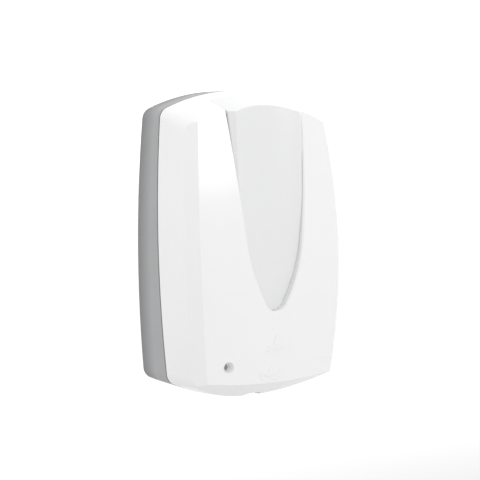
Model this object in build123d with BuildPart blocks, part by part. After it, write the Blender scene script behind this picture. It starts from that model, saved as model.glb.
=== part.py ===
"""Wall mounted automatic soap dispenser, modelled as separate pieces.

Frame, millimetres: X to the right seen from the front, Z up, and the wall is
the plane Y = 0. The front faces -Y, so "depth" below means distance from the
wall, and depth d is the plane Y = -d. The origin is the centre of the four
wall screw holes on the back face.
"""

import os
from math import cos, degrees, pi, radians, sin, tan
from typing import NamedTuple

from build123d import *

# ---------------------------------------------------------------- driving sizes
class Outline(NamedTuple):
    """A bowed rectangle with round corners, seen from the front."""

    half_w: float
    top: float
    low: float
    bow: float           # how far the sides curve in towards the corners
    top_drop: float      # how far the top curves down to the corners
    low_drop: float      # how far the bottom curves up to them
    top_corner: float    # corner radii
    low_corner: float


HALF_H = 135.0
BODY = Outline(84.5, HALF_H, -HALF_H, 5.4, 18.4, 18.9, 11.5, 11.0)

PARTING_DEPTH = 39.0     # depth of the joint between housing and cover at mid height
PARTING_LEAN = 0.048     # the housing is thinner at the top by this slope
SEAM = 1.6               # shadow gap between housing and cover
HOUSING_WALL = 3.0
COVER_WALL = 2.6

FRONT_SECTION = 100.0    # depth of the section that the cover's walls taper to
FORE = Outline(77.5, 114.3, -130.5, 11.5, 20.6, 14.2, 22.0, 16.0)

FACE_DEPTH = 94.5        # depth of the middle of the front face
FACE_LEAN = 8.3          # the face leans back by this over half the height
FACE_CURVE = 14.4        # and curves back by this at the top and bottom
FACE_RADIUS = 323.0      # side to side curvature of the face

BEVEL_X, BEVEL_Z = 70.8, 117.1          # inner edge of the bevel, at the side and below
SIDE_BEVEL_ANGLE, LOW_BEVEL_ANGLE = radians(47.7), radians(65.4)
SIDE_BEVEL_BOW = 6.4     # the side bevel's edge curves in by this over BEVEL_Z
LOW_BEVEL_BOW = 4.1      # and the low bevel's edge curves up by this over BEVEL_X

PANEL_TIP_Z = -54.7      # the V shaped panel: its tip's height and radius
PANEL_TIP_R = 11.5
PANEL_TIP_TURN = radians(60)             # the tip's arc turns this far to each side
PANEL_WAIST = (28.0, 5.0)                # where the side's two arcs meet
PANEL_TOP = (39.6, 150.0)                # where its side would end, above the body
PANEL_REAR = 48.0        # the panel's roof part starts at this depth
PANEL_DEPTH, PANEL_Z0, PANEL_LEAN = 76.0, 117.0, 0.07
RIDGE_X, RIDGE_RISE, FLANK_SLOPE = 32.0, 5.5, 0.85
PANEL_GAP = 0.15
RIM_CHAMFER = 1.2
RIM_WALL = 2.4           # wall around the panel's opening
RIM_DEPTH = 3.5          # and how far it reaches behind the panel's front

HOLE_X, HOLE_Z, HOLE_R = 68.0, 50.0, 2.6     # wall screw holes

HINGE_BEHIND = 5.0       # hinge axis behind the parting plane
HINGE_Z = 131.4
HINGE_PIN_R = 1.4
KNUCKLE_R = 2.7
KNUCKLE_X = 8.0          # half width of the cover's knuckle
KNUCKLE_END = 16.0
SKIN_CUT = 3.2           # near the hinge the housing ends this far before the axis

PLATE_BACK, PLATE_FRONT = 8.0, 10.5          # chassis plate
SHELF_TOP, SHELF_THICK = -41.0, 3.0

PUMP_DEPTH = 52.0        # depth of the vertical pump axis
NOTCH_R = 9.5            # room in the cover's bottom for the nozzle
SENSOR_DEPTH = 24.0      # depth of the sensor's window and lamps
BELOW = -140.0           # a height below the body, where cuts into its bottom start
LOCK_X, LOCK_Z = -45.5, -100.5
LOCK_R = 4.5
MOUTH_R, MOUTH_DEPTH, MOUTH_TAPER = 4.8, 3.7, radians(23)   # the key hole narrows inwards
MOUTH_ABOVE = 1.5        # its cutter starts this far before the face

MODULE = 0.75            # gear tooth size, wheels
RACK_MODULE = 1.0
OUTPUT_X, OUTPUT_Z = 34.0, -78.0
OUTPUT_TEETH, OUTPUT_PINION_TEETH = 36, 12
COMPOUND_TEETH, COMPOUND_PINION_TEETH = 32, 12
MOTOR_TEETH = 10
COMPOUND_ANGLE = radians(-35)
MOTOR_ANGLE = radians(60)

FIT = 0.05               # running fit, radial
PILOT = 0.1              # clearance around screw threads

os.makedirs("parts", exist_ok=True)


# ---------------------------------------------------------------- helpers
def front(depth):
    """A plane parallel to the wall, with local X right and local Y up."""
    return Plane.XZ.offset(depth)


def level(z):
    """A horizontal plane. Local Y points to the wall."""
    return Plane.XY.offset(z)


def disc(plane, centre, radius, length, mode=Mode.ADD):
    with BuildSketch(plane) as face:
        with Locations(centre):
            Circle(radius)
    extrude(face.sketch, amount=length, mode=mode)


def block(plane, centre, size, length, radius=0.0, mode=Mode.ADD):
    with BuildSketch(plane) as face:
        with Locations(centre):
            if radius:
                RectangleRounded(*size, radius)
            else:
                Rectangle(*size)
    extrude(face.sketch, amount=length, mode=mode)


def box_between(low, high, mode=Mode.ADD):
    """A box from its lowest to its highest corner."""
    middle = tuple((a + b) / 2 for a, b in zip(low, high))
    size = tuple(b - a for a, b in zip(low, high))
    with Locations(middle):
        Box(*size, mode=mode)


def screw(plane, places, head_r, head_h, shank_r, shank_l):
    """Pan head screws: the heads stand on the plane, the shanks go down into it."""
    for place in places:
        disc(plane, place, head_r, head_h)
        disc(plane, place, shank_r, -shank_l)
    for place in places:
        with BuildSketch(plane.offset(head_h)) as slot:
            with Locations(place):
                Rectangle(head_r * 1.3, head_r * 0.28)
                Rectangle(head_r * 0.28, head_r * 1.3)
        extrude(slot.sketch, amount=-head_h * 0.5, mode=Mode.SUBTRACT)


def save(builder, label):
    builder.part.label = label
    export_step(builder.part, f"parts/{label}.step")


# ---------------------------------------------------------------- body shape
def bowed_outline(plane, shape, inset=0.0):
    """Front view outline: four bowed sides and rounded corners."""
    w, top, low = shape.half_w - inset, shape.top - inset, shape.low + inset
    x, top_z, low_z = w - shape.bow, top - shape.top_drop, low + shape.low_drop
    with BuildSketch(plane) as outline:
        with BuildLine():
            ThreePointArc((-x, top_z), (0, top), (x, top_z))
            ThreePointArc((x, top_z), (w, (top_z + low_z) / 2), (x, low_z))
            ThreePointArc((x, low_z), (0, low), (-x, low_z))
            ThreePointArc((-x, low_z), (-w, (top_z + low_z) / 2), (-x, top_z))
        make_face()
        fillet(outline.vertices().group_by(Axis.Y)[-1], shape.top_corner - inset)
        fillet(outline.vertices().group_by(Axis.Y)[0], shape.low_corner - inset)
    return outline.sketch


def parting_plane(offset=0.0):
    """The leaning plane where housing and cover meet; positive is forward."""
    plane = Plane(origin=(0, -PARTING_DEPTH, 0), x_dir=(1, 0, 0), z_dir=(0, -1, PARTING_LEAN))
    return plane.offset(offset)


def face_depth(z):
    """Depth of the front face on the centre line at a height."""
    return FACE_DEPTH - FACE_LEAN * z / HALF_H - FACE_CURVE * (z / HALF_H) ** 2


def wall_prism(inset=0.0):
    """The cover's tapering walls, from the parting plane to past the front."""
    with BuildPart() as prism:
        rear = bowed_outline(parting_plane(), BODY, inset)
        fore = bowed_outline(front(FRONT_SECTION), FORE, inset)
        loft([rear.face(), fore.face()], ruled=True)
    return prism.part


def face_barrel(inset=0.0):
    """The doubly curved front face, a barrel turned about a vertical axis."""
    reach = HALF_H + 5
    axis_y = FACE_RADIUS - FACE_DEPTH
    with BuildPart() as barrel:
        with BuildSketch(Plane.YZ) as side:
            with BuildLine():
                ThreePointArc(
                    (inset - face_depth(reach), reach),
                    (inset - face_depth(0), 0),
                    (inset - face_depth(-reach), -reach),
                )
                Polyline(
                    (inset - face_depth(-reach), -reach),
                    (axis_y, -reach),
                    (axis_y, reach),
                    (inset - face_depth(reach), reach),
                )
            make_face()
        revolve(side.sketch, axis=Axis((0, axis_y, 0), (0, 0, 1)))
    return barrel.part


def bevel_block(across, along, reach_at, span):
    """Everything behind one bevel.

    across is the in-plane direction at right angles to the bevel, along is
    the direction of the body's edge, and reach_at gives how far the bevel
    stands out at a place on that edge.
    """
    plane = Plane(origin=(0, 0, 0), x_dir=across, z_dir=Vector(*across).cross(Vector(*along)))
    with BuildPart() as behind:
        with BuildSketch(plane) as region:
            with BuildLine():
                ThreePointArc((reach_at(-span), -span), (reach_at(0), 0), (reach_at(span), span))
                Polyline((reach_at(span), span), (-250, span), (-250, -span), (reach_at(-span), -span))
            make_face()
        extrude(region.sketch, amount=250, both=True)
    return behind.part


def side_bevel(side, inset=0.0):
    n_x, n_d = sin(SIDE_BEVEL_ANGLE), cos(SIDE_BEVEL_ANGLE)
    edge_bulge = BEVEL_X**2 / (2 * FACE_RADIUS)

    def reach(z):
        edge_x = BEVEL_X - SIDE_BEVEL_BOW * (z / BEVEL_Z) ** 2
        return n_x * edge_x + n_d * (face_depth(z) - edge_bulge) - inset

    return bevel_block((side * n_x, -n_d, 0), (0, 0, 1), reach, 150)


def low_bevel(inset=0.0):
    n_z, n_d = sin(LOW_BEVEL_ANGLE), cos(LOW_BEVEL_ANGLE)

    def reach(x):
        edge_z = BEVEL_Z - LOW_BEVEL_BOW * (x / BEVEL_X) ** 2
        edge_depth = face_depth(-BEVEL_Z) - x**2 / (2 * FACE_RADIUS)
        return n_z * edge_z + n_d * edge_depth - inset

    return bevel_block((0, -n_d, -n_z), (1, 0, 0), reach, 110)


def cover_form(inset=0.0):
    """The closed solid of the cover's outside, or of its inside when inset."""
    with BuildPart() as form:
        add(wall_prism(inset))
        add(face_barrel(inset), mode=Mode.INTERSECT)
        add(side_bevel(1, inset), mode=Mode.INTERSECT)
        add(side_bevel(-1, inset), mode=Mode.INTERSECT)
        add(low_bevel(inset), mode=Mode.INTERSECT)
    return form.part


def v_outline(plane, grow=0.0):
    """The panel's outline: a V whose sides and tip are arcs that run into each other."""
    tip = (0, PANEL_TIP_Z)
    shoulder = (PANEL_TIP_R * sin(PANEL_TIP_TURN), PANEL_TIP_Z + PANEL_TIP_R * (1 - cos(PANEL_TIP_TURN)))
    with BuildSketch(plane) as outline:
        with BuildLine():
            for side in (-1, 1):
                points = [(side * x, z) for x, z in (shoulder, PANEL_WAIST, PANEL_TOP)]
                round_tip = TangentArc(tip, points[0], tangent=(side, 0))
                lower = TangentArc(points[0], points[1], tangent=round_tip % 1)
                TangentArc(points[1], points[2], tangent=lower % 1)
            Line((-PANEL_TOP[0], PANEL_TOP[1]), PANEL_TOP)
        make_face()
        if grow:
            offset(amount=grow, kind=Kind.ARC)
    return outline.sketch


def v_prism(grow=0.0, start=PANEL_REAR):
    with BuildPart() as prism:
        extrude(v_outline(front(start), grow), amount=120 - start)
    return prism.part


def panel_block(back=0.0):
    """Everything behind the panel's front: a channel between two ridges."""
    lean = Vector(0, PANEL_LEAN, 1).normalized()
    top = Plane(origin=(0, -(PANEL_DEPTH - PANEL_LEAN * 40), PANEL_Z0 + 40), x_dir=(1, 0, 0), z_dir=(0, 0, 1))
    edge_x = 60.0            # past the panel's side
    edge_y = back - RIDGE_RISE + (edge_x - RIDGE_X) * FLANK_SLOPE
    with BuildPart() as behind:
        with BuildSketch(top) as profile:
            with BuildLine():
                ThreePointArc((-RIDGE_X, back - RIDGE_RISE), (0, back), (RIDGE_X, back - RIDGE_RISE))
                Polyline((RIDGE_X, back - RIDGE_RISE), (edge_x, edge_y), (edge_x, 70), (-edge_x, 70),
                         (-edge_x, edge_y), (-RIDGE_X, back - RIDGE_RISE))
            make_face()
            fillet(profile.vertices().group_by(Axis.Y)[0], 2.5)
        extrude(profile.sketch, amount=240, dir=-lean)
    return behind.part


OUTER = cover_form()
INNER = cover_form(COVER_WALL)
HINGE_DEPTH = PARTING_DEPTH - PARTING_LEAN * HINGE_Z - HINGE_BEHIND


def hinge_disc(x0, x1, radius, mode=Mode.ADD):
    """A round bar along the hinge axis."""
    disc(Plane.YZ.offset(x0), (-HINGE_DEPTH, HINGE_Z), radius, x1 - x0, mode=mode)


# ---------------------------------------------------------------- rear housing
BOSSES = [(side * x, z) for side in (-1, 1) for x, z in ((48, 110.5), (52, 0), (44, -106))]

with BuildPart() as rear_housing:
    extrude(bowed_outline(front(0), BODY), amount=60)
    fillet(rear_housing.faces().sort_by(Axis.Y)[-1].edges(), 2.5)
    extrude(bowed_outline(front(HOUSING_WALL), BODY, HOUSING_WALL), amount=60, mode=Mode.SUBTRACT)
    split(bisect_by=parting_plane(-SEAM), keep=Keep.BOTTOM)
    for boss in BOSSES:
        disc(front(HOUSING_WALL), boss, 4.5, PLATE_BACK - HOUSING_WALL)
    for boss in BOSSES:
        disc(front(1), boss, 2.0 + PILOT, PLATE_BACK, mode=Mode.SUBTRACT)
    for x in (-HOLE_X, HOLE_X):
        for z in (-HOLE_Z, HOLE_Z):
            disc(front(HOUSING_WALL), (x, z), 7.0, 2.0)
            disc(front(0), (x, z), HOLE_R, 10, mode=Mode.SUBTRACT)
    # hinge: room for the cover's skin and knuckle, and two fixed knuckles
    box_between((-25, -60, 125), (25, -HINGE_DEPTH - SKIN_CUT, 140), mode=Mode.SUBTRACT)
    for side in (-1, 1):
        near, far = sorted((side * (KNUCKLE_X + 0.4), side * KNUCKLE_END))
        hinge_disc(near, far, KNUCKLE_R)
    box_between((-KNUCKLE_X - 0.4, -60, 125), (KNUCKLE_X + 0.4, -HINGE_DEPTH + 3.6, 140), mode=Mode.SUBTRACT)
    hinge_disc(-KNUCKLE_END, KNUCKLE_END, HINGE_PIN_R + 0.02, mode=Mode.SUBTRACT)
    # sensor window and the notch behind the nozzle
    block(level(BELOW), (0, -SENSOR_DEPTH), (30, 13), 12, mode=Mode.SUBTRACT)
    disc(level(BELOW), (0, -PUMP_DEPTH), NOTCH_R + 0.5, 12, mode=Mode.SUBTRACT)
save(rear_housing, "rear_housing")

with BuildPart() as hinge_pin:
    hinge_disc(-KNUCKLE_END, KNUCKLE_END, HINGE_PIN_R)
    chamfer(hinge_pin.edges(), 0.3)
save(hinge_pin, "hinge_pin")

# ---------------------------------------------------------------- cover
LOCK_FACE = face_depth(LOCK_Z) - LOCK_X**2 / (2 * FACE_RADIUS)
LOCK_BACK = LOCK_FACE - 16.0
BORE_BACK = 60.0         # the lock's bore is cut from this depth, inside the cover


def on_panel_rim(edge):
    """True for the edges where the face meets the panel's opening."""
    middle = edge.center()
    surface = face_depth(middle.Z) - middle.X**2 / (2 * FACE_RADIUS)
    in_v = abs(middle.X) < PANEL_TOP[0] and PANEL_TIP_Z - 5 < middle.Z < 110
    return in_v and abs(-middle.Y - surface) < 0.6 and edge.length > 3


with BuildPart() as rim_wall:
    add(OUTER)
    add(v_prism(RIM_WALL), mode=Mode.INTERSECT)
    add(panel_block(RIM_DEPTH), mode=Mode.SUBTRACT)

with BuildPart() as lock_boss:
    disc(front(LOCK_BACK), (LOCK_X, LOCK_Z), 7.5, 30)
    add(OUTER, mode=Mode.INTERSECT)

with BuildPart() as front_cover:
    add(OUTER)
    add(INNER, mode=Mode.SUBTRACT)
    add(rim_wall.part)
    add(v_prism(), mode=Mode.SUBTRACT)
    chamfer(front_cover.edges().filter_by(on_panel_rim), RIM_CHAMFER)
    add(lock_boss.part)
    # the lock's tapered mouth, and behind it the barrel's bore
    with BuildSketch(front(LOCK_FACE + MOUTH_ABOVE)) as mouth:
        with Locations((LOCK_X, LOCK_Z)):
            Circle(MOUTH_R + MOUTH_ABOVE * tan(MOUTH_TAPER))
    extrude(mouth.sketch, amount=-MOUTH_ABOVE - MOUTH_DEPTH, taper=degrees(MOUTH_TAPER), mode=Mode.SUBTRACT)
    bore_length = LOCK_FACE - MOUTH_DEPTH - BORE_BACK
    disc(front(BORE_BACK), (LOCK_X, LOCK_Z), LOCK_R + FIT, bore_length, mode=Mode.SUBTRACT)
    # hinge knuckle and its arm
    box_between((-KNUCKLE_X, -HINGE_DEPTH - 8, HINGE_Z - KNUCKLE_R), (KNUCKLE_X, -HINGE_DEPTH, HINGE_Z + 2))
    hinge_disc(-KNUCKLE_X, KNUCKLE_X, KNUCKLE_R)
    hinge_disc(-KNUCKLE_X, KNUCKLE_X, HINGE_PIN_R + FIT, mode=Mode.SUBTRACT)
    # notch for the nozzle, open to the rear
    disc(level(BELOW), (0, -PUMP_DEPTH), NOTCH_R, 20, mode=Mode.SUBTRACT)
    box_between((-NOTCH_R, -PUMP_DEPTH, BELOW), (NOTCH_R, -30, -120), mode=Mode.SUBTRACT)
save(front_cover, "front_cover")

with BuildPart() as panel_hollow:
    add(wall_prism(COVER_WALL))
    add(panel_block(COVER_WALL), mode=Mode.INTERSECT)

with BuildPart() as v_panel:
    add(wall_prism())
    add(v_prism(-PANEL_GAP, PANEL_REAR + PANEL_GAP), mode=Mode.INTERSECT)
    add(panel_block(), mode=Mode.INTERSECT)
    add(panel_hollow.part, mode=Mode.SUBTRACT)
save(v_panel, "v_panel")

# ---------------------------------------------------------------- lock
CAM_THICK = 2.4
CAM_REACH = 10.0
BARREL_FRONT = LOCK_FACE - MOUTH_DEPTH - 0.3
NUT_THICK = 3.0
CAM_SCREW_R = 1.25
STRIKE_X = -29.0
STRIKE_SCREWS = [(STRIKE_X + dx, LOCK_Z) for dx in (-5, 5)]

with BuildPart() as lock_barrel:
    disc(front(LOCK_BACK - NUT_THICK), (LOCK_X, LOCK_Z), LOCK_R, BARREL_FRONT - LOCK_BACK + NUT_THICK)
    # socket for the service key
    with BuildSketch(front(BARREL_FRONT)) as socket:
        with Locations((LOCK_X, LOCK_Z)):
            Circle(2.0)
            Rectangle(1.2, 5.6)
    extrude(socket.sketch, amount=-4.0, mode=Mode.SUBTRACT)
    disc(front(LOCK_BACK - NUT_THICK), (LOCK_X, LOCK_Z), CAM_SCREW_R + PILOT, 8, mode=Mode.SUBTRACT)
save(lock_barrel, "lock_barrel")

with BuildPart() as lock_nut:
    with BuildSketch(front(LOCK_BACK)) as ring:
        with Locations((LOCK_X, LOCK_Z)):
            RegularPolygon(7.0, 6)
            Circle(LOCK_R + FIT, mode=Mode.SUBTRACT)
    extrude(ring.sketch, amount=-(NUT_THICK - 0.4))
save(lock_nut, "lock_nut")

CAM_FRONT = LOCK_BACK - NUT_THICK
with BuildPart() as lock_cam:
    with BuildSketch(front(CAM_FRONT)) as cam:
        with Locations((LOCK_X, LOCK_Z)):
            Circle(5.0)
        with Locations((LOCK_X, LOCK_Z + CAM_REACH / 2)):
            Rectangle(6.0, CAM_REACH)
        with Locations((LOCK_X, LOCK_Z + CAM_REACH)):
            Circle(3.0)
        with Locations((LOCK_X, LOCK_Z)):
            Circle(CAM_SCREW_R + PILOT, mode=Mode.SUBTRACT)
    extrude(cam.sketch, amount=-CAM_THICK)
save(lock_cam, "lock_cam")

with BuildPart() as cam_screw:
    disc(front(CAM_FRONT - CAM_THICK), (LOCK_X, LOCK_Z), CAM_SCREW_R, 8)
    disc(front(CAM_FRONT - CAM_THICK), (LOCK_X, LOCK_Z), 2.8, -1.8)
save(cam_screw, "cam_screw")

with BuildPart() as lock_strike:
    # a post from the chassis plate with a lip that the cam turns behind
    block(front(PLATE_FRONT), (STRIKE_X, LOCK_Z), (4, 12), CAM_FRONT + 3.0 - PLATE_FRONT)
    block(front(CAM_FRONT + 1.0), (STRIKE_X - 4.5, LOCK_Z), (9, 12), 2.0)
    block(front(PLATE_FRONT), (STRIKE_X, LOCK_Z), (16, 12), 2.5, radius=1.5)
    for place in STRIKE_SCREWS:
        disc(front(PLATE_FRONT), place, 1.5 + PILOT, 3, mode=Mode.SUBTRACT)
save(lock_strike, "lock_strike")

with BuildPart() as strike_screws:
    screw(front(PLATE_FRONT + 2.5), STRIKE_SCREWS, 2.6, 1.6, 1.5, 4.6)
save(strike_screws, "strike_screws")

# ---------------------------------------------------------------- chassis
GEAR_BASE_BACK, GEAR_BASE_FRONT = 28.0, 31.0     # gear train, depths
BIG_WHEEL = (34.0, 38.0)
OUTPUT_WHEEL = (40.0, 44.0)
GEAR_PLATE_BACK, GEAR_PLATE_FRONT = 45.0, 47.0
RACK_BACK, RACK_FRONT = 48.5, 55.5
BASE_POSTS = [(23.5, -62), (57, -60), (33, -101), (57, -104.5)]
BOARD_BACK, BOARD_FRONT = 20.0, 21.6
BOARD_POSTS = [(-52.5, -52), (-25.5, -52), (-52.5, -86), (-25.5, -86)]
RODS = [(-19, 40), (-19, 64)]                    # x and depth of the guide rods
ROD_R = 2.5
ROD_LOW = -116.0
SHELF_LOW = SHELF_TOP - SHELF_THICK

with BuildPart() as chassis_plate:
    block(front(PLATE_BACK), (0, 1), (120, 228), PLATE_FRONT - PLATE_BACK, radius=8)
    block(front(PLATE_BACK), (0, -118), (48, 24), PLATE_FRONT - PLATE_BACK, radius=2)
    block(level(SHELF_LOW), (0, -42), (120, 63), SHELF_THICK, radius=4)
    block(level(SHELF_LOW), (0, -12), (120, 4), SHELF_THICK)
    # slot for the bottle's neck, open to the front
    disc(level(SHELF_LOW - 1), (0, -PUMP_DEPTH), 17, 8, mode=Mode.SUBTRACT)
    block(level(SHELF_LOW - 1), (0, -PUMP_DEPTH - 20), (34, 40), 8, mode=Mode.SUBTRACT)
    for x in (-58.7, 58.7):
        with BuildSketch(Plane.YZ.offset(x - 1.25)) as gusset:
            Polygon((-PLATE_FRONT, SHELF_LOW), (-60, SHELF_LOW), (-PLATE_FRONT, SHELF_LOW - 10), align=None)
        extrude(gusset.sketch, amount=2.5)
    for post in BASE_POSTS:
        disc(front(PLATE_FRONT), post, 3.0, GEAR_BASE_BACK - PLATE_FRONT)
        disc(front(PLATE_BACK), post, 1.5 + PILOT, 30, mode=Mode.SUBTRACT)
    for post in BOARD_POSTS:
        disc(front(PLATE_FRONT), post, 2.6, BOARD_BACK - PLATE_FRONT)
        disc(front(PLATE_BACK), post, 1.2 + PILOT, 30, mode=Mode.SUBTRACT)
    for boss in BOSSES:
        disc(front(PLATE_BACK), boss, 2.0 + PILOT, 3, mode=Mode.SUBTRACT)
    for place in STRIKE_SCREWS:
        disc(front(PLATE_BACK), place, 1.5 + PILOT, 3, mode=Mode.SUBTRACT)
    for x, depth in RODS:
        disc(level(SHELF_LOW), (x, -depth), ROD_R + 0.02, 2, mode=Mode.SUBTRACT)
save(chassis_plate, "chassis_plate")

with BuildPart() as chassis_screws:
    screw(front(PLATE_FRONT), BOSSES, 3.6, 2.4, 2.0, 9.0)
save(chassis_screws, "chassis_screws")

# ---------------------------------------------------------------- batteries
BATTERY_Z = 89.0
CELL_R, CELL_L = 13.0, 48.5
CELL_DEPTHS = (26.2, 52.6)
BOX_FRONT = 66.2

with BuildPart() as battery_box:
    block(front(PLATE_FRONT), (0, BATTERY_Z), (114, 34), BOX_FRONT - PLATE_FRONT, radius=3)
    block(front(PLATE_FRONT + 2), (0, BATTERY_Z), (110, 30), 70, radius=1, mode=Mode.SUBTRACT)
    block(front(PLATE_FRONT), (0, BATTERY_Z), (1.2, 30), 30)
save(battery_box, "battery_box")

with BuildPart() as battery_lid:
    block(front(BOX_FRONT), (0, BATTERY_Z), (114, 34), 2.0, radius=3)
    for z in (BATTERY_Z - 5, BATTERY_Z, BATTERY_Z + 5):
        block(front(BOX_FRONT + 2), (0, z), (24, 1.4), 0.8)
save(battery_lid, "battery_lid")

with BuildPart() as batteries:
    for depth in CELL_DEPTHS:
        for x in (-52.2, 2.2):
            disc(Plane.YZ.offset(x), (-depth, BATTERY_Z), CELL_R, CELL_L)
            disc(Plane.YZ.offset(x + CELL_L), (-depth, BATTERY_Z), 3.2, 1.5)
    fillet(batteries.edges().filter_by(GeomType.CIRCLE).group_by(SortBy.RADIUS)[-1], 0.8)
save(batteries, "batteries")

with BuildPart() as battery_contacts:
    for x in (-54.9, 54.5):
        for depth in CELL_DEPTHS:
            block(Plane.YZ.offset(x), (-depth, BATTERY_Z), (16, 16), 0.4)
    for depth in CELL_DEPTHS:
        with BuildSketch(Plane.YZ.offset(-54.5)) as cone:
            with Locations((-depth, BATTERY_Z)):
                Circle(5.5)
                Circle(4.5, mode=Mode.SUBTRACT)
        extrude(cone.sketch, amount=2.2)
save(battery_contacts, "battery_contacts")

# ---------------------------------------------------------------- refill bottle and pump
BOTTLE_TOP = 64.0
NECK_R = 14.5
CAP_TOP, CAP_LOW = -44.6, -58.0
PUMP_LOW = -84.0
PISTON_R = 9.0
HEAD_TOP, HEAD_LOW = -73.0, -80.0
STEM_R = 4.5
FLANGE_TOP, FLANGE_LOW = -101.0, -104.0
NOZZLE_LOW = -129.0
PUMP = (0, -PUMP_DEPTH)

with BuildPart() as refill_bottle:
    block(level(SHELF_TOP), (0, -43.5), (116, 59), BOTTLE_TOP - SHELF_TOP, radius=12)
    fillet(refill_bottle.faces().sort_by(Axis.Z)[-1].edges(), 8)
    fillet(refill_bottle.faces().sort_by(Axis.Z)[0].edges(), 5)
    disc(level(SHELF_TOP), PUMP, NECK_R, -(SHELF_TOP - CAP_LOW - 2))
save(refill_bottle, "refill_bottle")

with BuildPart() as bottle_cap:
    disc(level(CAP_LOW), PUMP, 18.5, CAP_TOP - CAP_LOW)
    disc(level(CAP_LOW + 2), PUMP, NECK_R + PILOT, 20, mode=Mode.SUBTRACT)
    with BuildSketch(level(CAP_LOW)) as grip:
        with Locations(PUMP):
            with PolarLocations(18.5, 36):
                Circle(0.7)
    extrude(grip.sketch, amount=CAP_TOP - CAP_LOW, mode=Mode.SUBTRACT)
save(bottle_cap, "bottle_cap")

with BuildPart() as pump_body:
    disc(level(PUMP_LOW), PUMP, 12.5, CAP_LOW - PUMP_LOW)
    disc(level(PUMP_LOW + 2), PUMP, PISTON_R, 22, mode=Mode.SUBTRACT)
    disc(level(PUMP_LOW - 1), PUMP, STEM_R + 0.4, 8, mode=Mode.SUBTRACT)
save(pump_body, "pump_body")

with BuildPart() as pump_piston:
    disc(level(HEAD_LOW), PUMP, PISTON_R - FIT, HEAD_TOP - HEAD_LOW)
    with BuildSketch(Plane.YZ) as groove:
        with Locations((-PUMP_DEPTH + PISTON_R, (HEAD_TOP + HEAD_LOW) / 2)):
            Rectangle(2.4, 3.0)
    revolve(groove.sketch, axis=Axis((0, -PUMP_DEPTH, 0), (0, 0, 1)), mode=Mode.SUBTRACT)
    disc(level(FLANGE_LOW), PUMP, STEM_R, HEAD_LOW - FLANGE_LOW)
    disc(level(FLANGE_LOW), PUMP, 12.0, FLANGE_TOP - FLANGE_LOW)
save(pump_piston, "pump_piston")

SPRING_R, SPRING_WIRE = 7.6, 0.6
SPRING_TOP, SPRING_LOW = PUMP_LOW - 0.3, FLANGE_TOP + 0.3
with BuildPart() as pump_spring:
    turns_low = SPRING_LOW + SPRING_WIRE
    turns_high = SPRING_TOP - SPRING_WIRE
    with BuildLine() as coil:
        Helix(pitch=2.9, height=turns_high - turns_low, radius=SPRING_R,
              center=(0, -PUMP_DEPTH, turns_low))
    with BuildSketch(Plane(origin=coil.line @ 0, z_dir=coil.line % 0)) as wire:
        Circle(SPRING_WIRE)
    sweep(wire.sketch, path=coil.line, is_frenet=True)
save(pump_spring, "pump_spring")

with BuildPart() as nozzle:
    with BuildSketch(Plane.YZ) as side:
        with BuildLine():
            y = -PUMP_DEPTH
            Polyline((y, FLANGE_LOW), (y + 7.6, FLANGE_LOW), (y + 7.6, -122), (y + 6.0, NOZZLE_LOW),
                     (y, NOZZLE_LOW), (y, FLANGE_LOW))
        make_face()
    revolve(side.sketch, axis=Axis((0, -PUMP_DEPTH, 0), (0, 0, 1)))
    disc(level(NOZZLE_LOW), PUMP, 3.0, 12, mode=Mode.SUBTRACT)
save(nozzle, "nozzle")


# ---------------------------------------------------------------- drive
def tooth_wheel(plane, centre, teeth, module, width, turn=0.0):
    """A spur wheel with straight sided teeth. turn is in tooth pitches."""
    pitch_r = teeth * module / 2
    root_r, tip_r = pitch_r - 1.1 * module, pitch_r + 0.75 * module
    step = 360 / teeth
    half_root, half_tip = 0.86 * module, 0.36 * module
    with BuildSketch(plane) as wheel:
        with Locations(centre):
            Circle(root_r)
            with PolarLocations(0, teeth, start_angle=turn * step):
                Polygon((root_r - 0.3, -half_root), (tip_r, -half_tip), (tip_r, half_tip),
                        (root_r - 0.3, half_root), align=None)
    extrude(wheel.sketch, amount=width)


def mesh_turn(teeth, angle, other_teeth, other_turn, other_angle):
    """Turn, in pitches, that puts a gap where the other wheel has a tooth."""
    other_phase = other_angle / (2 * pi) * other_teeth - other_turn
    return angle / (2 * pi) * teeth + other_phase + 0.5


OUTPUT_R = OUTPUT_TEETH * MODULE / 2
COMPOUND_DIST = OUTPUT_R + COMPOUND_PINION_TEETH * MODULE / 2
COMPOUND = (OUTPUT_X + COMPOUND_DIST * cos(COMPOUND_ANGLE), OUTPUT_Z + COMPOUND_DIST * sin(COMPOUND_ANGLE))
MOTOR_DIST = (COMPOUND_TEETH + MOTOR_TEETH) * MODULE / 2
MOTOR = (COMPOUND[0] + MOTOR_DIST * cos(MOTOR_ANGLE), COMPOUND[1] + MOTOR_DIST * sin(MOTOR_ANGLE))
OUTPUT = (OUTPUT_X, OUTPUT_Z)
PINION_R = OUTPUT_PINION_TEETH * RACK_MODULE / 2
AXLE_R, MOTOR_SHAFT_R, MOTOR_R = 1.5, 1.0, 10.5
MOTOR_SCREWS = [(MOTOR[0] + dx, MOTOR[1]) for dx in (-7, 7)]

with BuildPart() as gearbox_base:
    block(front(GEAR_BASE_BACK), (43, -82.5), (47, 52), GEAR_BASE_FRONT - GEAR_BASE_BACK, radius=4)
    for post in BASE_POSTS:
        disc(front(GEAR_BASE_BACK), post, 3.4, GEAR_PLATE_BACK - GEAR_BASE_BACK)
    for post in BASE_POSTS:
        disc(front(GEAR_BASE_BACK - 1), post, 1.5 + PILOT, 30, mode=Mode.SUBTRACT)
    for axle in (OUTPUT, COMPOUND):
        disc(front(GEAR_BASE_BACK), axle, AXLE_R + 0.02, 4, mode=Mode.SUBTRACT)
    disc(front(GEAR_BASE_BACK), MOTOR, MOTOR_SHAFT_R + FIT, 4, mode=Mode.SUBTRACT)
save(gearbox_base, "gearbox_base")

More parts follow.
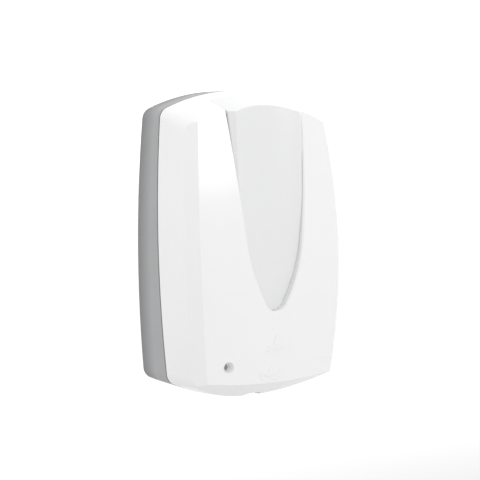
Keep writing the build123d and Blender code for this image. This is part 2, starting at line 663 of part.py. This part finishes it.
with BuildPart() as gear_axles:
    disc(front(GEAR_BASE_BACK), OUTPUT, AXLE_R, 30)
    disc(front(GEAR_BASE_BACK), COMPOUND, AXLE_R, GEAR_PLATE_FRONT - GEAR_BASE_BACK)
save(gear_axles, "gear_axles")

with BuildPart() as gearbox_plate:
    block(front(GEAR_PLATE_BACK), (44.5, -82.5), (50, 52), GEAR_PLATE_FRONT - GEAR_PLATE_BACK, radius=4)
    # room for the rising yoke
    block(front(GEAR_PLATE_BACK), (19, -101.5), (20, 20), 4, mode=Mode.SUBTRACT)
    disc(front(GEAR_PLATE_BACK), OUTPUT, 5.4, 4, mode=Mode.SUBTRACT)
    disc(front(GEAR_PLATE_BACK), COMPOUND, AXLE_R + 0.02, 4, mode=Mode.SUBTRACT)
    disc(front(GEAR_PLATE_BACK), MOTOR, 4.5, 4, mode=Mode.SUBTRACT)
    for post in BASE_POSTS:
        disc(front(GEAR_PLATE_BACK), post, 1.5 + PILOT, 4, mode=Mode.SUBTRACT)
    for place in MOTOR_SCREWS:
        disc(front(GEAR_PLATE_BACK), place, 1.0 + PILOT, 4, mode=Mode.SUBTRACT)
save(gearbox_plate, "gearbox_plate")

with BuildPart() as gearbox_screws:
    # low heads, because the rack passes in front of one of them
    screw(front(GEAR_PLATE_FRONT), BASE_POSTS, 2.8, 1.0, 1.5, 34.0)
save(gearbox_screws, "gearbox_screws")

with BuildPart() as output_gear:
    tooth_wheel(front(OUTPUT_WHEEL[0]), OUTPUT, OUTPUT_TEETH, MODULE, OUTPUT_WHEEL[1] - OUTPUT_WHEEL[0])
    disc(front(GEAR_BASE_FRONT + 0.3), OUTPUT, 4.0, RACK_FRONT - GEAR_BASE_FRONT)
    tooth_wheel(front(RACK_BACK), OUTPUT, OUTPUT_PINION_TEETH, RACK_MODULE, RACK_FRONT - RACK_BACK)
    disc(front(GEAR_BASE_FRONT), OUTPUT, AXLE_R + FIT, 30, mode=Mode.SUBTRACT)
save(output_gear, "output_gear")

with BuildPart() as compound_gear:
    back = COMPOUND_ANGLE + pi
    turn = mesh_turn(COMPOUND_PINION_TEETH, back, OUTPUT_TEETH, 0.0, COMPOUND_ANGLE)
    tooth_wheel(front(BIG_WHEEL[0]), COMPOUND, COMPOUND_TEETH, MODULE, BIG_WHEEL[1] - BIG_WHEEL[0])
    tooth_wheel(front(BIG_WHEEL[1]), COMPOUND, COMPOUND_PINION_TEETH, MODULE,
                OUTPUT_WHEEL[1] - BIG_WHEEL[1], turn)
    disc(front(GEAR_BASE_FRONT + 0.3), COMPOUND, 3.2, 13.2)
    disc(front(GEAR_BASE_FRONT), COMPOUND, AXLE_R + FIT, 30, mode=Mode.SUBTRACT)
save(compound_gear, "compound_gear")

with BuildPart() as motor_pinion:
    turn = mesh_turn(MOTOR_TEETH, MOTOR_ANGLE + pi, COMPOUND_TEETH, 0.0, MOTOR_ANGLE)
    tooth_wheel(front(BIG_WHEEL[0]), MOTOR, MOTOR_TEETH, MODULE, BIG_WHEEL[1] - BIG_WHEEL[0], turn)
    disc(front(GEAR_BASE_BACK), MOTOR, MOTOR_SHAFT_R, 24)
save(motor_pinion, "motor_pinion")

with BuildPart() as motor_can:
    disc(front(GEAR_PLATE_FRONT), MOTOR, MOTOR_R, 22)
    fillet(motor_can.faces().sort_by(Axis.Y)[-1].edges(), 1.0)
    disc(front(GEAR_PLATE_FRONT), MOTOR, MOTOR_SHAFT_R + FIT, 6, mode=Mode.SUBTRACT)
    for place in MOTOR_SCREWS:
        disc(front(GEAR_PLATE_FRONT), place, 1.0 + PILOT, 4, mode=Mode.SUBTRACT)
save(motor_can, "motor_can")

with BuildPart() as motor_screws:
    for place in MOTOR_SCREWS:
        disc(front(GEAR_PLATE_BACK), place, 1.0, 5)
        disc(front(GEAR_PLATE_BACK), place, 1.9, -1.2)
save(motor_screws, "motor_screws")

with BuildPart() as motor_end_cap:
    disc(front(GEAR_PLATE_FRONT + 22), MOTOR, MOTOR_R - 0.8, 2.5)
save(motor_end_cap, "motor_end_cap")

with BuildPart() as motor_terminals:
    for dx in (-5, 5):
        block(front(GEAR_PLATE_FRONT + 24.5), (MOTOR[0] + dx, MOTOR[1]), (2.4, 0.5), 3.0)
save(motor_terminals, "motor_terminals")

YOKE_TOP, YOKE_LOW = FLANGE_LOW, FLANGE_LOW - 4.0
RACK_PITCH_X = OUTPUT_X - PINION_R
RACK_LOW, RACK_TOP = YOKE_LOW, -66.0

with BuildPart() as pump_yoke:
    block(level(YOKE_LOW), (1.5, -PUMP_DEPTH), (49, 30), YOKE_TOP - YOKE_LOW, radius=3)
    for x, depth in RODS:
        disc(level(YOKE_LOW - 4), (x, -depth), 4.6, 14)
        disc(level(YOKE_LOW - 5), (x, -depth), ROD_R + FIT, 20, mode=Mode.SUBTRACT)
    disc(level(YOKE_LOW - 1), PUMP, 7.6 + PILOT, 8, mode=Mode.SUBTRACT)
    # rack
    rack_mid = (RACK_LOW + RACK_TOP) / 2
    block(front(RACK_BACK), (RACK_PITCH_X - 3.6, rack_mid), (5, RACK_TOP - RACK_LOW), RACK_FRONT - RACK_BACK)
    tooth_pitch = pi * RACK_MODULE
    for index in range(-4, 4):
        z = OUTPUT_Z + (index + 0.5) * tooth_pitch
        with BuildSketch(front(RACK_BACK)) as tooth:
            Polygon((RACK_PITCH_X - 1.4, z - 0.92), (RACK_PITCH_X + 0.75, z - 0.36),
                    (RACK_PITCH_X + 0.75, z + 0.36), (RACK_PITCH_X - 1.4, z + 0.92), align=None)
        extrude(tooth.sketch, amount=RACK_FRONT - RACK_BACK)
save(pump_yoke, "pump_yoke")

with BuildPart() as guide_rods:
    for x, depth in RODS:
        disc(level(ROD_LOW), (x, -depth), ROD_R, SHELF_LOW + 2 - ROD_LOW)
save(guide_rods, "guide_rods")

# ---------------------------------------------------------------- electronics
BOARD_MID = (-38.5, -69)
SWITCH = (-50.5, -62)
BUTTON = (-50.5, -76)
SWITCH_TRAVEL = 4.0
BUTTON_TRAVEL = 0.8

with BuildPart() as circuit_board:
    block(front(BOARD_BACK), BOARD_MID, (36, 42), BOARD_FRONT - BOARD_BACK, radius=1.5)
    for post in BOARD_POSTS:
        disc(front(BOARD_BACK - 1), post, 1.2 + PILOT, 4, mode=Mode.SUBTRACT)
save(circuit_board, "circuit_board")

with BuildPart() as board_screws:
    screw(front(BOARD_FRONT), BOARD_POSTS, 2.3, 1.4, 1.2, 8.0)
save(board_screws, "board_screws")

with BuildPart() as board_chips:
    block(front(BOARD_FRONT), (-38, -66), (10, 8), 1.6)
    block(front(BOARD_FRONT), (-38, -79), (5, 4), 1.2)
    block(front(BOARD_FRONT), (-28, -62), (4, 5), 1.2)
    for x in (-33, -30, -27):
        block(front(BOARD_FRONT), (x, -71), (1.6, 0.8), 0.6)
save(board_chips, "board_chips")

with BuildPart() as board_capacitors:
    for place in ((-30, -79), (-40, -55)):
        disc(front(BOARD_FRONT), place, 3.1, 7.5)
    fillet(board_capacitors.faces().sort_by(Axis.Y)[0].edges(), 0.5)
save(board_capacitors, "board_capacitors")

with BuildPart() as board_connector:
    block(front(BOARD_FRONT), (-44, -86), (11, 5), 6.0)
    block(front(BOARD_FRONT + 1.5), (-44, -86.5), (9, 3), 8.0, mode=Mode.SUBTRACT)
    for x in (-47, -44, -41):
        block(front(BOARD_FRONT + 1.5), (x, -86.5), (0.6, 0.6), 3.5)
save(board_connector, "board_connector")

with BuildPart() as power_switch_body:
    block(front(BOARD_FRONT), SWITCH, (8, 9.0), 5.5)
    block(front(BOARD_FRONT + 2.0), SWITCH, (4.0, 8.0), 6.0, mode=Mode.SUBTRACT)
save(power_switch_body, "power_switch_body")

with BuildPart() as power_switch_knob:
    block(front(BOARD_FRONT + 2.3), (SWITCH[0], SWITCH[1] - SWITCH_TRAVEL / 2), (3.3, 3.3), 7.0)
    for dz in (-0.9, 0, 0.9):
        block(front(BOARD_FRONT + 9.3), (SWITCH[0], SWITCH[1] - SWITCH_TRAVEL / 2 + dz), (3.3, 0.4), -0.5,
              mode=Mode.SUBTRACT)
save(power_switch_knob, "power_switch_knob")

with BuildPart() as test_button_body:
    block(front(BOARD_FRONT), BUTTON, (7, 7), 4.0, radius=0.6)
    disc(front(BOARD_FRONT + 1.5), BUTTON, 2.3, 6.0, mode=Mode.SUBTRACT)
save(test_button_body, "test_button_body")

with BuildPart() as test_button:
    disc(front(BOARD_FRONT + 1.5 + BUTTON_TRAVEL + 0.3), BUTTON, 2.25, 4.0)
    fillet(test_button.faces().sort_by(Axis.Y)[0].edges(), 0.4)
save(test_button, "test_button")

# ---------------------------------------------------------------- sensor
with BuildPart() as sensor_housing:
    block(front(PLATE_FRONT), (0, -122.5), (44, 15), 24.0, radius=1.5)
    for x in (-9, 0, 9):
        disc(level(-131), (x, -SENSOR_DEPTH), 2.6, 10, mode=Mode.SUBTRACT)
save(sensor_housing, "sensor_housing")

with BuildPart() as sensor_window:
    block(level(-133.4), (0, -SENSOR_DEPTH), (29.4, 12.4), 3.2, radius=0.8)
save(sensor_window, "sensor_window")

for label, x in (("ir_emitter", -9), ("ir_receiver", 9), ("status_led", 0)):
    with BuildPart() as lamp:
        disc(level(-127), (x, -SENSOR_DEPTH), 2.5, 6.0)
        with Locations((x, -SENSOR_DEPTH, -127)):
            Sphere(2.5)
    save(lamp, label)
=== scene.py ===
"""Looks for the wall mounted automatic soap dispenser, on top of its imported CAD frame.

Metres, the same frame as the CAD: X to the right seen from the front, Z up,
the wall is the plane Y = 0 and the front faces -Y. A node's object sits at the
origin, so object coordinates in a material are metres too.
"""

import math

import bmesh
import bpy
from mathutils import Matrix, Vector


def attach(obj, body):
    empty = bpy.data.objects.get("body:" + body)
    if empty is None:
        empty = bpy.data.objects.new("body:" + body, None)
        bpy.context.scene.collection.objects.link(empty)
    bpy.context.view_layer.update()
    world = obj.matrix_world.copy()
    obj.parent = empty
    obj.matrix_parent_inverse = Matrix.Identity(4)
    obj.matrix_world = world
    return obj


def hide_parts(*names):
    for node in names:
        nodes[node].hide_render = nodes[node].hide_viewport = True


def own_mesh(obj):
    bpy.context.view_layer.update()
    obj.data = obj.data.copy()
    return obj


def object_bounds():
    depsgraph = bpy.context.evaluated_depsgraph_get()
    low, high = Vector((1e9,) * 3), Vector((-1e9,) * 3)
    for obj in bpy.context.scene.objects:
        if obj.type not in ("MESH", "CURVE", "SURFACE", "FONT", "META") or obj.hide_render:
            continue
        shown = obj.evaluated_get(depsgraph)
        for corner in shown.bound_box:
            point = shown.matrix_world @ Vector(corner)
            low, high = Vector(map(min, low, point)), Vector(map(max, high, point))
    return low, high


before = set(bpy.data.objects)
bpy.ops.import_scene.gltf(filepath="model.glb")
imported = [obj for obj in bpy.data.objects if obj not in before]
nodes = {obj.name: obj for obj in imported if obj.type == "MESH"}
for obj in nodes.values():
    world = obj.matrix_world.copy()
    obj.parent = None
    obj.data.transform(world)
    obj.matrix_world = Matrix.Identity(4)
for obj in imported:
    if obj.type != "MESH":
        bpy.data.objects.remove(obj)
cad_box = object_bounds()
MM = 0.001

# ------------------------------------------------------------------- camera
CAMERA_AZIMUTH, CAMERA_ELEVATION = -32.53, 3.8     # degrees, from straight ahead
CAMERA_DISTANCE = 1.2583
CAMERA_ASIDE, CAMERA_RAISE = 0.01943, 0.02005      # the object sits left of and below the middle
LENS = 103.41                                      # on a 36 mm sensor
SHIFT = -0.046                                     # the lens looks a little above the object's middle

FLOOR_DROP = 0.30                                  # the floor is this far below the object


def look_camera():
    """A camera at the given angle, distance and offset from the origin."""
    az, el = math.radians(CAMERA_AZIMUTH), math.radians(CAMERA_ELEVATION)
    right = Vector((math.cos(az), math.sin(az), 0))
    back = Vector((math.sin(az) * math.cos(el), -math.cos(az) * math.cos(el), math.sin(el)))
    up = back.cross(right)
    camera = bpy.data.objects.new("camera", bpy.data.cameras.new("camera"))
    bpy.context.scene.collection.objects.link(camera)
    camera.matrix_world = Matrix.Translation(
        back * CAMERA_DISTANCE + right * CAMERA_ASIDE + up * CAMERA_RAISE
    ) @ Matrix((right, up, back)).transposed().to_4x4()
    camera.data.lens = LENS
    camera.data.sensor_width = 36
    camera.data.shift_y = SHIFT
    camera.data.clip_start = 0.05
    bpy.context.scene.camera = camera


# ---------------------------------------------------------------- materials
def tree_of(material):
    """The node tree of a material, with its shader and the object coordinates."""
    material.use_nodes = True
    tree = material.node_tree
    shader = tree.nodes["Principled BSDF"]
    place = tree.nodes.new("ShaderNodeTexCoord").outputs["Object"]
    return tree, shader, place


def noise(tree, place, size, detail=3.0, stretch=(1, 1, 1)):
    """Noise whose blobs are about size metres across."""
    mapping = tree.nodes.new("ShaderNodeMapping")
    mapping.inputs["Scale"].default_value = [s / size for s in stretch]
    texture = tree.nodes.new("ShaderNodeTexNoise")
    texture.inputs["Scale"].default_value = 1.0
    texture.inputs["Detail"].default_value = detail
    tree.links.new(place, mapping.inputs["Vector"])
    tree.links.new(mapping.outputs["Vector"], texture.inputs["Vector"])
    return texture.outputs["Fac"]


def spread(tree, value, low, high, start=0.3, end=0.7):
    """Maps a value from start..end, where noise mostly keeps, to low..high."""
    remap = tree.nodes.new("ShaderNodeMapRange")
    remap.inputs["From Min"].default_value = start
    remap.inputs["From Max"].default_value = end
    remap.inputs["To Min"].default_value = low
    remap.inputs["To Max"].default_value = high
    tree.links.new(value, remap.inputs["Value"])
    return remap.outputs["Result"]


def blend(tree, value, dark, light):
    """A colour between dark and light as the value goes from 0 to 1."""
    mix = tree.nodes.new("ShaderNodeMix")
    mix.data_type = "RGBA"
    for socket, colour in (("A", dark), ("B", light)):
        if isinstance(colour, bpy.types.NodeSocket):
            tree.links.new(colour, mix.inputs[socket])
        else:
            mix.inputs[socket].default_value = (*colour, 1)
    tree.links.new(value, mix.inputs["Factor"])
    return mix.outputs["Result"]


def bump(tree, shader, value, height):
    """Adds a surface relief of the given height in metres."""
    node = tree.nodes.new("ShaderNodeBump")
    node.inputs["Distance"].default_value = height
    tree.links.new(value, node.inputs["Height"])
    tree.links.new(node.outputs["Normal"], shader.inputs["Normal"])


def surface(name, colour, rough, vary=0.02, cloud=0.03, grain=0.0004, relief=2e-6,
            rough_vary=0.05, metallic=0.0, stretch=(1, 1, 1), **sockets):
    """A moulded or metal surface: slow colour and gloss variation and a fine grain."""
    material = bpy.data.materials.new(name)
    tree, shader, place = tree_of(material)
    clouds = spread(tree, noise(tree, place, cloud), 0, 1)
    darker = [c * (1 - vary) for c in colour]
    lighter = [min(1, c * (1 + vary)) for c in colour]
    tree.links.new(blend(tree, clouds, darker, lighter), shader.inputs["Base Color"])
    patches = noise(tree, place, cloud / 4, stretch=stretch)
    gloss = spread(tree, patches, rough - rough_vary, rough + rough_vary)
    tree.links.new(gloss, shader.inputs["Roughness"])
    bump(tree, shader, noise(tree, place, grain, 2.0, stretch), relief)
    shader.inputs["Metallic"].default_value = metallic
    for socket, value in sockets.items():
        shader.inputs[socket.replace("_", " ")].default_value = value
    material.diffuse_color = (*colour, 1)
    return material


def along(material, axis):
    """The material's tree and shader, and the place along an axis of the object."""
    tree = material.node_tree
    split = tree.nodes.new("ShaderNodeSeparateXYZ")
    tree.links.new(tree.nodes["Texture Coordinate"].outputs["Object"], split.inputs["Vector"])
    return tree, tree.nodes["Principled BSDF"], split.outputs[axis]


def fade(material, axis, start, end, colour):
    """Fades a surface from a colour at start to its own colour at end."""
    tree, shader, value = along(material, axis)
    under = shader.inputs["Base Color"].links[0].from_socket
    own_colour = spread(tree, value, 0, 1, start, end)
    tree.links.new(blend(tree, own_colour, colour, under), shader.inputs["Base Color"])


def paint(material, axis, bands):
    """Paints bands of colour over a surface, each from one place on an axis to another."""
    tree, shader, value = along(material, axis)
    for start, end, colour in bands:
        inside = tree.nodes.new("ShaderNodeMath")
        inside.operation = "COMPARE"
        inside.inputs[1].default_value = (start + end) / 2
        inside.inputs[2].default_value = (end - start) / 2
        tree.links.new(value, inside.inputs[0])
        under = shader.inputs["Base Color"].links[0].from_socket
        tree.links.new(blend(tree, inside.outputs["Value"], under, colour), shader.inputs["Base Color"])


def grey(value):
    return (value, value, value)


LOOKS = {
    "housing_grey": surface("housing_grey", (0.365, 0.368, 0.374), 0.55, grain=0.0005,
                            relief=8e-6, IOR=1.35),
    "cover_white": surface("cover_white", grey(0.835), 0.21, vary=0.003, rough_vary=0.01, relief=5e-7),
    "panel_white": surface("panel_white", (0.762, 0.764, 0.768), 0.22, vary=0.003,
                           rough_vary=0.01, relief=5e-7),
    "chassis_grey": surface("chassis_grey", (0.47, 0.48, 0.49), 0.5, relief=6e-6),
    "bottle_plastic": surface("bottle_plastic", (0.83, 0.86, 0.84), 0.42, vary=0.03, relief=6e-6,
                              Subsurface_Weight=0.6, Subsurface_Scale=0.006, Transmission_Weight=0.15),
    "cap_plastic": surface("cap_plastic", grey(0.72), 0.4, relief=3e-6),
    "pump_plastic": surface("pump_plastic", grey(0.78), 0.38, relief=3e-6),
    "nozzle_plastic": surface("nozzle_plastic", (0.74, 0.77, 0.79), 0.3, Transmission_Weight=0.35),
    "gear_plastic": surface("gear_plastic", (0.78, 0.75, 0.66), 0.36, relief=3e-6),
    "steel": surface("steel", grey(0.56), 0.3, metallic=1.0, relief=1e-6),
    "zinc": surface("zinc", (0.6, 0.6, 0.57), 0.27, vary=0.06, cloud=0.004, metallic=1.0),
    "brass": surface("brass", (0.72, 0.6, 0.33), 0.28, metallic=1.0),
    "motor_steel": surface("motor_steel", grey(0.55), 0.3, metallic=1.0, stretch=(1, 0.05, 1), relief=3e-6),
    "black_plastic": surface("black_plastic", grey(0.02), 0.42, vary=0.1, relief=5e-6),
    "dark_lens": surface("dark_lens", (0.012, 0.006, 0.01), 0.12, vary=0.1, relief=5e-7, Coat_Weight=0.5),
    "clear_lens": surface("clear_lens", (0.8, 0.85, 0.9), 0.08, relief=5e-7, Transmission_Weight=0.9),
    "board_green": surface("board_green", (0.015, 0.11, 0.05), 0.3, vary=0.12, cloud=0.006),
    "chip_black": surface("chip_black", grey(0.018), 0.48, vary=0.1, relief=5e-6),
    "cell_wrap": surface("cell_wrap", (0.09, 0.11, 0.12), 0.22, vary=0.1),
    "capacitor": surface("capacitor", (0.08, 0.1, 0.19), 0.25, vary=0.05),
}
# the housing is painted darker towards the wall, for shade that the lights don't give
HOUSING_FADE = 0.024
fade(LOOKS["housing_grey"], "Y", 0.0, -HOUSING_FADE, grey(0.19))
# a copper coloured band at the cells' plus ends
CELL_ENDS = (-0.0037, 0.0507)
CELL_BAND = 0.012
COPPER = (0.45, 0.2, 0.08)
paint(LOOKS["cell_wrap"], "X", [(end - CELL_BAND, end, COPPER) for end in CELL_ENDS])


def dress_nodes():
    """Every CAD node gets the material of its slot in the record."""
    for node in nodes.values():
        for slot in node.material_slots:
            slot.material = LOOKS[slot.material.name.split(".")[0]]


# ------------------------------------------------------- marks on the cover
FACE_DEPTH, FACE_LEAN, FACE_CURVE = 94.5, 8.3, 14.4     # mm, as in the CAD
FACE_HALF_H, FACE_RADIUS = 135.0, 323.0
MARK_HEIGHT = 0.25                                       # mm above the face
MARK_SUNK = 0.3                                          # and as far below it


def face_point(x, z, height):
    """A place above the cover's front face, from millimetres to metres."""
    up = z / FACE_HALF_H
    depth = FACE_DEPTH - FACE_LEAN * up - FACE_CURVE * up**2 - x**2 / (2 * FACE_RADIUS)
    return Vector((x, -depth - height, z)) * MM


def mark_from(name, outlines, look, height=MARK_HEIGHT):
    """A flat raised mark on the cover, from outlines that go round its shapes."""
    mesh = bmesh.new()
    for outline in outlines:
        top = [mesh.verts.new(face_point(x, z, height)) for x, z in outline]
        low = [mesh.verts.new(face_point(x, z, -MARK_SUNK)) for x, z in outline]
        for index in range(len(outline)):
            after = (index + 1) % len(outline)
            mesh.faces.new((low[index], low[after], top[after], top[index]))
        lid = mesh.faces.new(top)
        bmesh.ops.triangulate(mesh, faces=[lid])
    bmesh.ops.recalc_face_normals(mesh, faces=mesh.faces)
    data = bpy.data.meshes.new(name)
    mesh.to_mesh(data)
    mesh.free()
    piece = bpy.data.objects.new(name, data)
    bpy.context.scene.collection.objects.link(piece)
    data.materials.append(look)
    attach(piece, "cover")


def curve_through(points, steps=8):
    """Points along a smooth curve through the given ones."""
    ends = [points[0], *points, points[-1]]
    path = []
    for before, start, end, after in zip(ends, ends[1:], ends[2:], ends[3:]):
        for step in range(steps):
            t = step / steps
            path.append(tuple(
                0.5 * (2 * b + (c - a) * t + (2 * a - 5 * b + 4 * c - d) * t**2
                       + (3 * b - a - 3 * c + d) * t**3)
                for a, b, c, d in zip(before, start, end, after)
            ))
    path.append(points[-1])
    return path


def stroke(points, width):
    """The outline of a line with round ends drawn along a smooth curve."""
    path = curve_through(points)
    left, right = [], []
    for index, (x, z) in enumerate(path):
        before, after = path[max(index - 1, 0)], path[min(index + 1, len(path) - 1)]
        dx, dz = after[0] - before[0], after[1] - before[1]
        scale = width / 2 / math.hypot(dx, dz)
        left.append((x - dz * scale, z + dx * scale))
        right.append((x + dz * scale, z - dx * scale))

    def cap(centre, start):
        turn = math.atan2(start[1] - centre[1], start[0] - centre[0])
        return [(centre[0] + width / 2 * math.cos(turn - math.pi * k / 6),
                 centre[1] + width / 2 * math.sin(turn - math.pi * k / 6)) for k in range(1, 6)]

    return left + cap(path[-1], left[-1]) + right[::-1] + cap(path[0], right[0])


def drop(centre, radius, steps=24):
    """The outline of a falling drop: round below, pointed above."""
    x, z = centre
    points = []
    for step in range(steps):
        turn = 2 * math.pi * step / steps
        width = radius * math.sin(turn) * math.sin(turn / 2) ** 1.4
        points.append((x + width, z + 1.45 * radius * math.cos(turn)))
    return points


# the signs' drops and the lines of their hands, and the strip, in mm on the face
UPPER_DROP, UPPER_DROP_R = (0.0, -79.6), 3.2
UPPER_PALM = [(-9.0, -88.0), (-5.0, -90.0), (1.0, -90.2), (6.0, -88.6), (9.2, -86.0)]
UPPER_FINGERS = [(-8.6, -84.6), (-4.0, -86.4), (0.6, -86.6), (3.4, -85.2)]
LOWER_DROP, LOWER_DROP_R = (-4.6, -105.0), 2.0
LOWER_PALM = [(-15.0, -108.5), (-12.4, -112.8), (-6.6, -115.6), (0.4, -115.4), (6.0, -112.6)]
LOWER_FINGERS = [(-9.6, -109.4), (-5.6, -111.2), (-1.2, -111.3), (2.6, -109.9), (5.6, -107.2)]
STRIP = [(44.0, -101.6), (54.0, -101.9), (65.0, -102.3)]
PALM_WIDTH, FINGER_WIDTH, STRIP_WIDTH = 1.1, 1.0, 2.6
STRIP_HEIGHT = 0.12


def build_marks():
    """Two small signs under the panel, drops over an open hand, and a plain strip."""
    white = LOOKS["cover_white"]
    upper_hand = [stroke(UPPER_PALM, PALM_WIDTH), stroke(UPPER_FINGERS, FINGER_WIDTH)]
    mark_from("sign_drop", [drop(UPPER_DROP, UPPER_DROP_R), *upper_hand], white)
    lower_hand = [stroke(LOWER_PALM, PALM_WIDTH), stroke(LOWER_FINGERS, FINGER_WIDTH)]
    mark_from("sign_hand", [drop(LOWER_DROP, LOWER_DROP_R), *lower_hand], white)
    mark_from("blank_strip", [stroke(STRIP, STRIP_WIDTH)], white, STRIP_HEIGHT)


def build_spring():
    """A copy of the pump's coil with a mesh of its own, hung on the base in place of the CAD node."""
    packed = nodes["pump_spring"]
    coil = bpy.data.objects.new("spring_coil", packed.data.copy())
    bpy.context.scene.collection.objects.link(coil)
    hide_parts("pump_spring")
    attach(coil, "base")
    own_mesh(coil)


# --------------------------------------------------------- floor and light
FLOOR_GREY, FLOOR_FRONT_GREY = 0.93, 0.66
FLOOR_FADE = (0.35, 0.95)                  # behind the wall plane, the grey fades out here
FLOOR_GLOW = 0.05                          # merges the floor with the backdrop
FLOOR_RADIUS = 12.0
ROOM_FRONT, ROOM_BACK = 0.86, 1.35         # brightness of the room before and behind the object
ROOM_TURN = 0.3                            # how far each way the change is spread
CEILING = 0.02                             # and how much brighter it is overhead
KEY_PLACE, KEY_AIM = (0.30, -1.65, 0.72), (0, -0.05, 0.05)
KEY_SIZE, KEY_WATTS = (0.55, 0.55), 6.6


def build_floor():
    """A wide pale floor, greyer under and before the object so that less light comes up."""
    mesh = bmesh.new()
    bmesh.ops.create_circle(mesh, cap_ends=True, segments=96, radius=FLOOR_RADIUS)
    data = bpy.data.meshes.new("floor")
    mesh.to_mesh(data)
    mesh.free()
    floor = bpy.data.objects.new("floor", data)
    floor.location.z = cad_box[0].z - FLOOR_DROP
    bpy.context.scene.collection.objects.link(floor)
    look = surface("floor", grey(FLOOR_GREY), 0.9, vary=0.01, cloud=0.5, grain=0.004, relief=1e-5)
    fade(look, "Y", *FLOOR_FADE, grey(FLOOR_FRONT_GREY))
    shader = look.node_tree.nodes["Principled BSDF"]
    shader.inputs["Emission Color"].default_value = (1, 1, 1, 1)
    shader.inputs["Emission Strength"].default_value = FLOOR_GLOW
    data.materials.append(look)


def area_light(name, place, aim, size, watts):
    """A soft rectangular lamp at place, turned towards aim."""
    light = bpy.data.lights.new(name, "AREA")
    light.shape = "RECTANGLE"
    light.size, light.size_y = size
    light.energy = watts
    lamp = bpy.data.objects.new(name, light)
    lamp.location = place
    lamp.rotation_euler = (Vector(aim) - Vector(place)).to_track_quat("-Z", "Y").to_euler()
    lamp.visible_camera = False
    bpy.context.scene.collection.objects.link(lamp)


def light_studio():
    """A room with a bright backdrop and a softer front, and one soft lamp."""
    world = bpy.data.worlds.new("studio")
    bpy.context.scene.world = world
    world.use_nodes = True
    tree = world.node_tree
    room = tree.nodes["Background"]
    way = tree.nodes.new("ShaderNodeSeparateXYZ")
    tree.links.new(tree.nodes.new("ShaderNodeTexCoord").outputs["Generated"], way.inputs["Vector"])
    front_to_back = spread(tree, way.outputs["Y"], ROOM_FRONT, ROOM_BACK, -ROOM_TURN, ROOM_TURN)
    overhead = spread(tree, way.outputs["Z"], 0, CEILING, 0, 1)
    total = tree.nodes.new("ShaderNodeMath")
    total.operation = "ADD"
    tree.links.new(front_to_back, total.inputs[0])
    tree.links.new(overhead, total.inputs[1])
    tree.links.new(total.outputs["Value"], room.inputs["Color"])
    area_light("key", KEY_PLACE, KEY_AIM, KEY_SIZE, KEY_WATTS)
    bpy.context.scene.view_settings.view_transform = "Standard"


look_camera()
dress_nodes()
build_marks()
build_spring()
build_floor()
light_studio()
